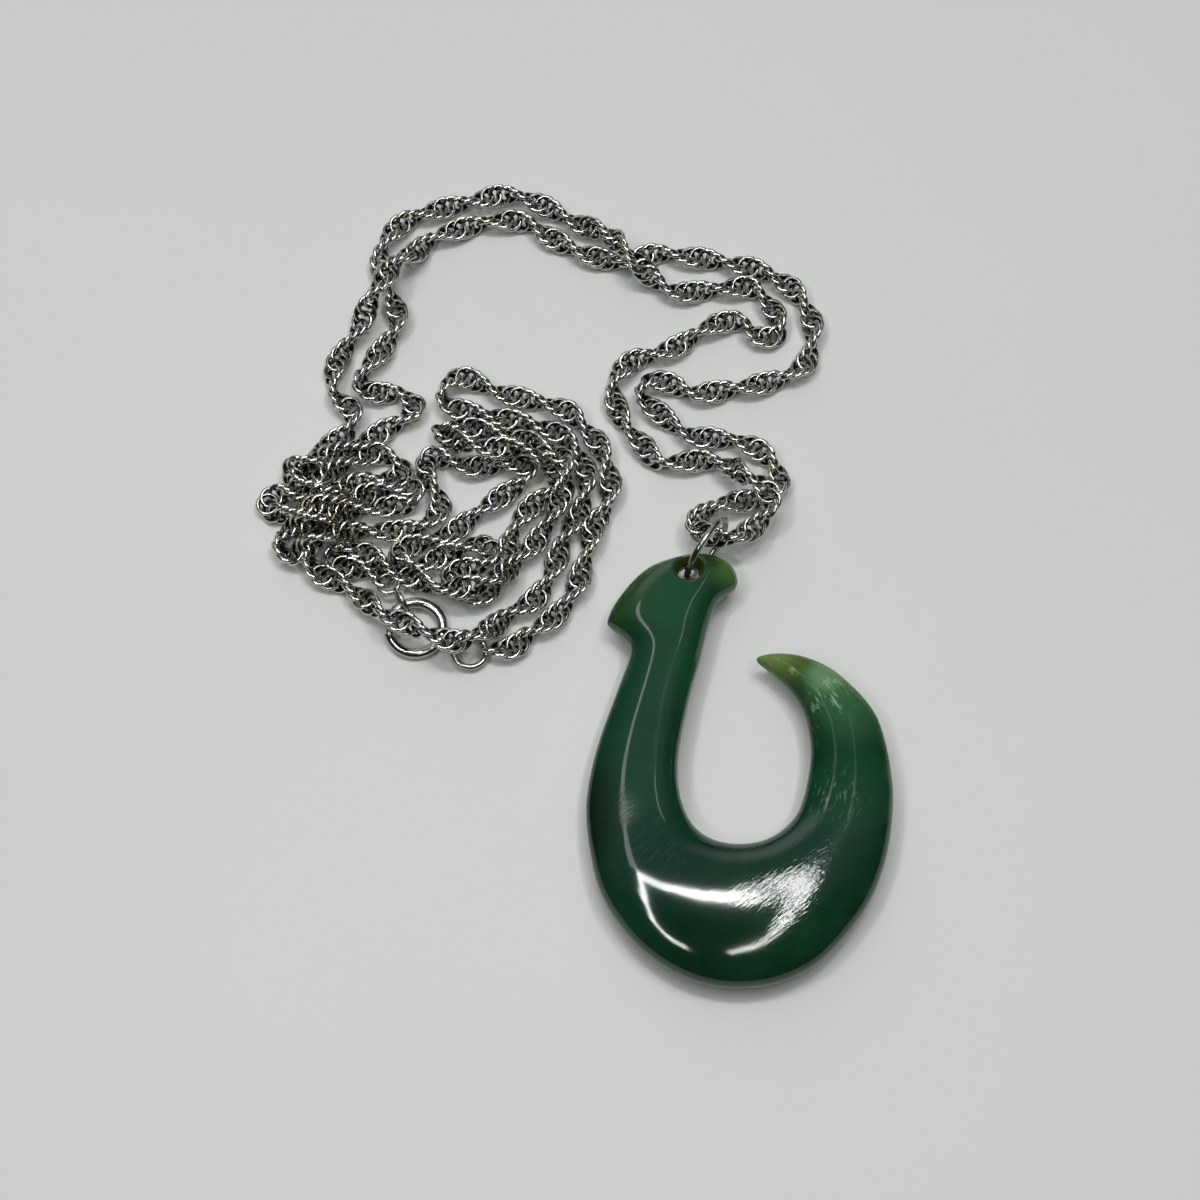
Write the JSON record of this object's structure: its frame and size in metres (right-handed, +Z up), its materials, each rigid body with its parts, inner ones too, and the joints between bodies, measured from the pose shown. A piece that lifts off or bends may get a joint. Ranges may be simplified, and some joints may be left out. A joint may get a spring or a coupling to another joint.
{
  "type": "fish-hook pendant necklace",
  "caption": "Carved green jade fish-hook pendant with a barbed head, hung by a wire ring on a long metal rope chain with a round spring clasp, laid out flat.",
  "frame": {"origin": "middle of the laid-out necklace, on the table", "axes": "+Z up from the table, +Y from the hook's bend towards its head and the chain, +X to the hook's point side"},
  "size_m": [0.0589, 0.083, 0.007],
  "materials": {
    "jade": "polished green jade",
    "silver": "bright silver-coloured plating",
    "chain": "bright silver-coloured plating"
  },
  "bodies": {
    "necklace": {"hook": "jade", "bail_ring": "silver", "chain_run": "chain", "chain_heap": "chain", "clasp_ring": "silver", "jump_ring": "silver", "end_ring": "silver"},
    "bolt": {"clasp_bolt": "silver"}
  },
  "joints": [
    {"name": "bolt_slide", "type": "hinge", "parent": "necklace", "child": "bolt", "pos_m": [-0.0141, -0.0072, 0.00076], "axis": [0.0523, -0.0905, 0.9945], "range_deg": [0, 48], "stiffness_Nm_per_rad": 0.0001, "springref_deg": -11.46}
  ]
}
